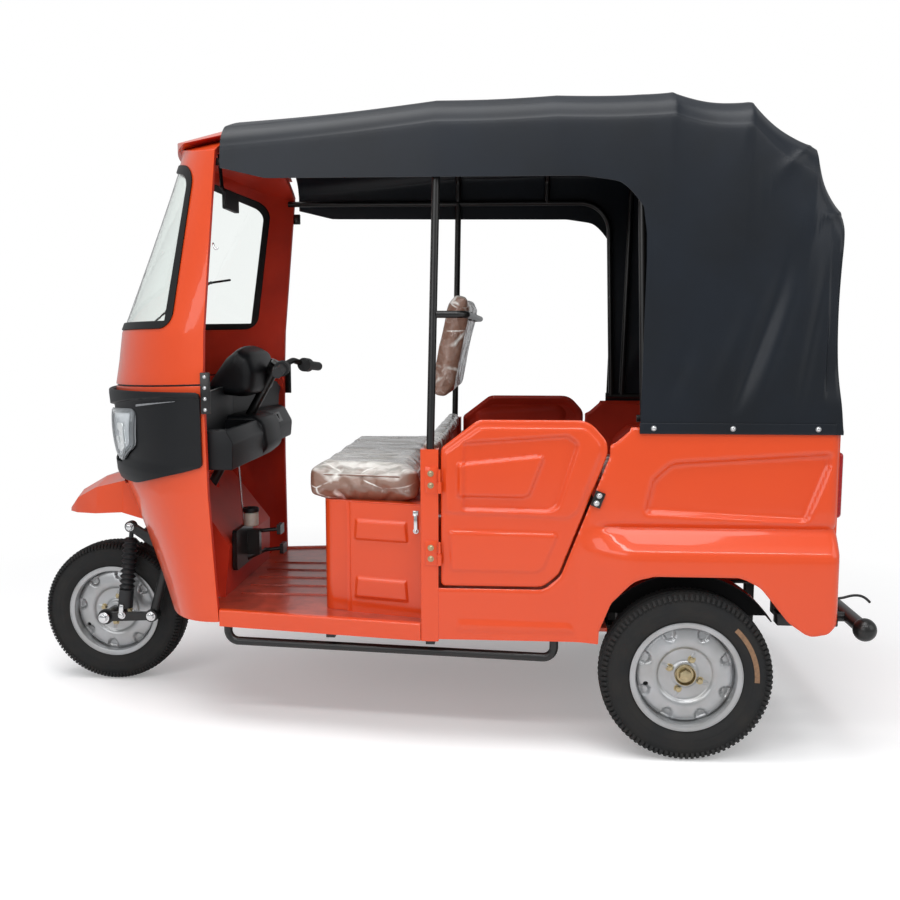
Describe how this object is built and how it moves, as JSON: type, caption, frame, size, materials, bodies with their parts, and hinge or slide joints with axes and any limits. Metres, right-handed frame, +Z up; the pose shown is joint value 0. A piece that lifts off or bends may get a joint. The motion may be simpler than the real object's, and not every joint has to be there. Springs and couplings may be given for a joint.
{
  "type": "auto rickshaw",
  "caption": "Three-wheeled passenger rickshaw with a bowed nose and windscreen, half doors, a vinyl hood, a turning handlebar and fork, and free-running wheels.",
  "frame": {"origin": "on the ground, under the middle of the length and width", "axes": "+X to the front, +Y to the left side, +Z up"},
  "size_m": [2.8419, 1.3, 2.038],
  "materials": {
    "body": "orange gloss enamel",
    "inner_paint": "dark red enamel",
    "black_metal": "black satin paint",
    "black_plastic": "black moulded plastic",
    "rubber": "black rubber",
    "tyre": "black tyre rubber",
    "rim": "silver paint",
    "vinyl": "dark coated vinyl",
    "seat": "brown leatherette under clear film",
    "glass": "clear glass",
    "lamp": "clear lens",
    "red_lens": "red lens",
    "mirror": "black mirror shell",
    "iron": "cast iron",
    "tubes": "black tube"
  },
  "bodies": {
    "body": {"windscreen_frame": "body", "windscreen_seal": "rubber", "windscreen_glass": "glass", "roof_visor": "body", "leg_shields": "body", "wheel_well": "inner_paint", "nose_panel": "black_plastic", "headlamps": "lamp", "front_mudguard": "body", "floor_pan": "inner_paint", "chassis_frame": "black_metal", "door_posts": "body", "partition_pad": "seat", "seat_base": "body", "engine_block": "iron", "driver_cushion": "seat", "driver_backrest": "seat", "backrest_frame": "tubes", "dashboard": "black_plastic", "pedal_cluster": "black_metal", "interior_mirror": "mirror", "wiper": "black_plastic", "quarter_panels": "body", "tail_panel": "body", "tail_lamps": "red_lens", "rear_deck": "inner_paint", "passenger_bench": "seat", "hood": "vinyl", "hood_rails": "tubes", "hood_bows": "tubes", "rear_bumper": "black_metal", "rear_axle": "iron"},
    "steering": {"steering_column": "black_metal", "handlebar_grips": "black_plastic", "handlebar_cover": "black_plastic", "front_fork": "black_metal", "leading_links": "black_metal", "front_dampers": "rubber"},
    "front_wheel": {"front_tyre": "tyre", "front_rim": "rim"},
    "rear_left_wheel": {"rear_left_tyre": "tyre", "rear_left_rim": "rim"},
    "rear_right_wheel": {"rear_right_tyre": "tyre", "rear_right_rim": "rim"},
    "left_door": {"left_door": "body"},
    "right_door": {"right_door": "body"}
  },
  "joints": [
    {"name": "steering_turn", "type": "hinge", "parent": "body", "child": "steering", "pos_m": [1.215, 0, 0], "axis": [-0.5, 0, 0.866], "range_deg": [-38, 38]},
    {"name": "front_wheel_spin", "type": "hinge", "parent": "steering", "child": "front_wheel", "pos_m": [1.161, 0, 0.26], "axis": [0, 1, 0], "continuous": true},
    {"name": "rear_left_wheel_spin", "type": "hinge", "parent": "body", "child": "rear_left_wheel", "pos_m": [-0.846, 0.585, 0.26], "axis": [0, 1, 0], "continuous": true},
    {"name": "rear_right_wheel_spin", "type": "hinge", "parent": "body", "child": "rear_right_wheel", "pos_m": [-0.846, -0.585, 0.26], "axis": [0, 1, 0], "continuous": true},
    {"name": "left_door_swing", "type": "hinge", "parent": "body", "child": "left_door", "pos_m": [-0.1, 0.6085, 0], "axis": [0, 0, -1], "range_deg": [0, 95]},
    {"name": "right_door_swing", "type": "hinge", "parent": "body", "child": "right_door", "pos_m": [-0.1, -0.6085, 0], "axis": [0, 0, 1], "range_deg": [0, 95]}
  ]
}
